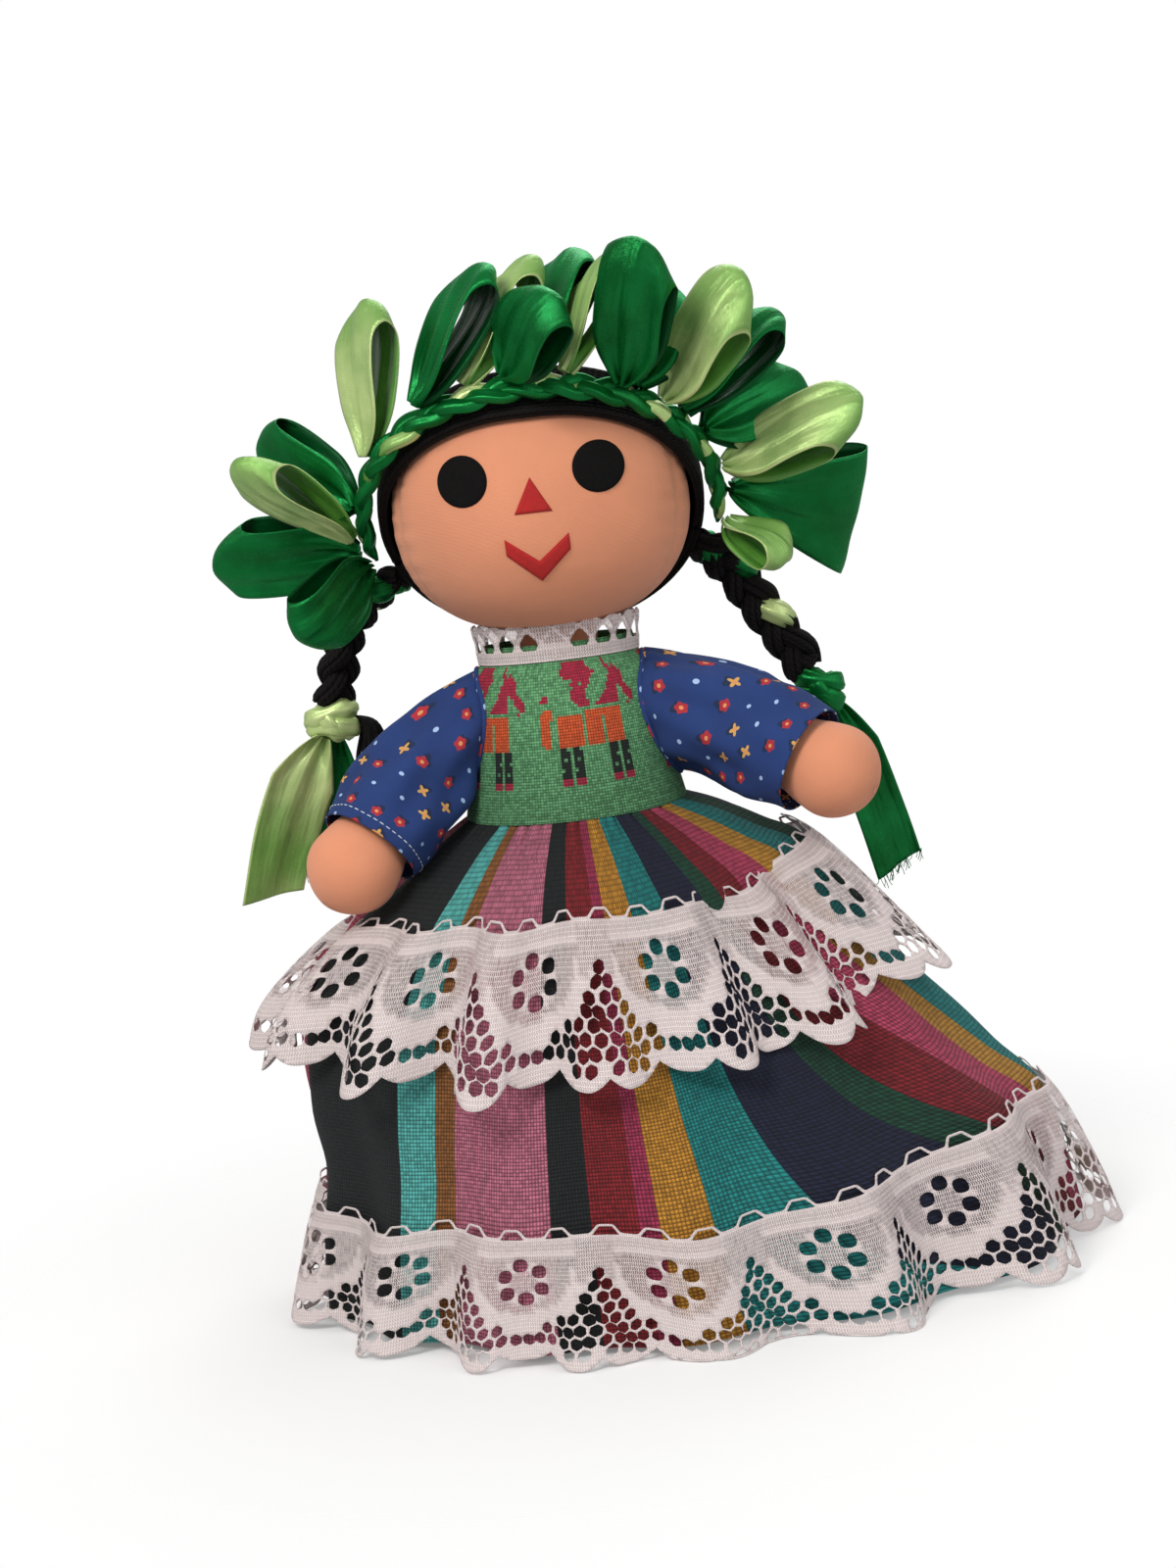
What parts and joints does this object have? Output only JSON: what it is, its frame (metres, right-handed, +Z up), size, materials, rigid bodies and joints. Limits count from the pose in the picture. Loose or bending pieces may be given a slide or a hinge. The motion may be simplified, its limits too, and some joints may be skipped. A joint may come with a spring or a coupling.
{
  "type": "rag doll",
  "caption": "Standing cloth rag doll with a yarn-haired head, ribbon-loop crown, side braids, woven bodice and a wide striped skirt with lace.",
  "frame": {"origin": "on the floor, under the middle of the box round the whole doll", "axes": "+Z up through the head, -Y is the way the face looks, +X is the doll's left"},
  "size_m": [0.3078, 0.245, 0.3687],
  "materials": {
    "skin_cotton": "plain woven cotton",
    "black_felt": "felt",
    "red_felt": "felt",
    "black_yarn": "wool yarn",
    "dark_satin": "satin ribbon",
    "light_satin": "satin ribbon",
    "woven_green": "hand-woven cotton",
    "navy_calico": "printed cotton",
    "striped_cloth": "striped hand-woven cotton",
    "white_lace": "nylon lace",
    "shoe_felt": "felt"
  },
  "bodies": {
    "head": {"head": "skin_cotton", "eye_right": "black_felt", "eye_left": "black_felt", "nose": "red_felt", "mouth": "red_felt", "hair_cap": "black_yarn", "crown_braid": "dark_satin", "ribbon_loop_01": "dark_satin", "ribbon_loop_02": "dark_satin", "ribbon_loop_03": "light_satin", "ribbon_loop_04": "dark_satin", "ribbon_loop_05": "light_satin", "ribbon_loop_06": "dark_satin", "ribbon_loop_07": "light_satin", "ribbon_loop_08": "dark_satin", "ribbon_loop_09": "dark_satin", "ribbon_loop_10": "light_satin", "ribbon_loop_11": "dark_satin", "ribbon_loop_12": "dark_satin", "ribbon_loop_13": "light_satin", "ribbon_loop_14": "dark_satin", "ribbon_loop_15": "dark_satin", "ribbon_loop_16": "light_satin", "ribbon_loop_17": "dark_satin", "ribbon_loop_18": "light_satin"},
    "braid_right": {"hair_braid_right": "black_yarn", "braid_knot_right": "light_satin", "hair_tuft_right": "black_yarn", "ribbon_tail_right_outer": "light_satin", "ribbon_tail_right_inner": "dark_satin"},
    "braid_left": {"hair_braid_left": "black_yarn", "braid_knot_left": "dark_satin", "hair_tuft_left": "black_yarn", "ribbon_tail_left": "dark_satin"},
    "neck": {"neck": "skin_cotton"},
    "torso": {"torso": "skin_cotton", "bodice": "woven_green", "collar_lace": "white_lace", "skirt": "striped_cloth", "skirt_lace_upper": "white_lace", "skirt_lace_hem": "white_lace"},
    "arm_right": {"arm_right": "skin_cotton", "sleeve_right": "navy_calico"},
    "shoulder_right": {"armhole_seam_right": "navy_calico"},
    "leg_right": {"leg_right": "skin_cotton", "shoe_right": "shoe_felt"},
    "arm_left": {"arm_left": "skin_cotton", "sleeve_left": "navy_calico"},
    "shoulder_left": {"armhole_seam_left": "navy_calico"},
    "leg_left": {"leg_left": "skin_cotton", "shoe_left": "shoe_felt"}
  },
  "joints": [
    {"name": "head_turn", "type": "hinge", "parent": "torso", "child": "neck", "pos_m": [-0.02303, -0.00263, 0.229], "axis": [0, 0, 1], "range_deg": [-10, 10]},
    {"name": "head_nod", "type": "hinge", "parent": "neck", "child": "head", "pos_m": [-0.02303, -0.00263, 0.229], "axis": [1, 0, 0], "range_deg": [-7, 7]},
    {"name": "arm_right_swing", "type": "hinge", "parent": "torso", "child": "shoulder_right", "pos_m": [-0.06103, -0.00263, 0.206], "axis": [-1, 0, 0], "range_deg": [-1, 70]},
    {"name": "arm_right_raise", "type": "hinge", "parent": "shoulder_right", "child": "arm_right", "pos_m": [-0.06103, -0.00263, 0.206], "axis": [0, 1, 0], "range_deg": [-1, 42], "deforming": ["sleeve_right"]},
    {"name": "arm_left_swing", "type": "hinge", "parent": "torso", "child": "shoulder_left", "pos_m": [0.01497, -0.00263, 0.206], "axis": [-1, 0, 0], "range_deg": [-12, 70]},
    {"name": "arm_left_raise", "type": "hinge", "parent": "shoulder_left", "child": "arm_left", "pos_m": [0.01497, -0.00263, 0.206], "axis": [0, -1, 0], "range_deg": [-8, 26], "deforming": ["sleeve_left"]},
    {"name": "leg_right_swing", "type": "hinge", "parent": "torso", "child": "leg_right", "pos_m": [-0.04203, -0.00263, 0.146], "axis": [-1, 0, 0], "range_deg": [-20, 20]},
    {"name": "leg_left_swing", "type": "hinge", "parent": "torso", "child": "leg_left", "pos_m": [-0.00403, -0.00263, 0.146], "axis": [-1, 0, 0], "range_deg": [-20, 20]},
    {"name": "braid_right_swing", "type": "hinge", "parent": "head", "child": "braid_right", "pos_m": [-0.07719, 0.01024, 0.25774], "axis": [0, 1, 0], "range_deg": [-5, 20]},
    {"name": "braid_left_swing", "type": "hinge", "parent": "head", "child": "braid_left", "pos_m": [0.03113, 0.01024, 0.25774], "axis": [0, -1, 0], "range_deg": [-5, 20]}
  ]
}
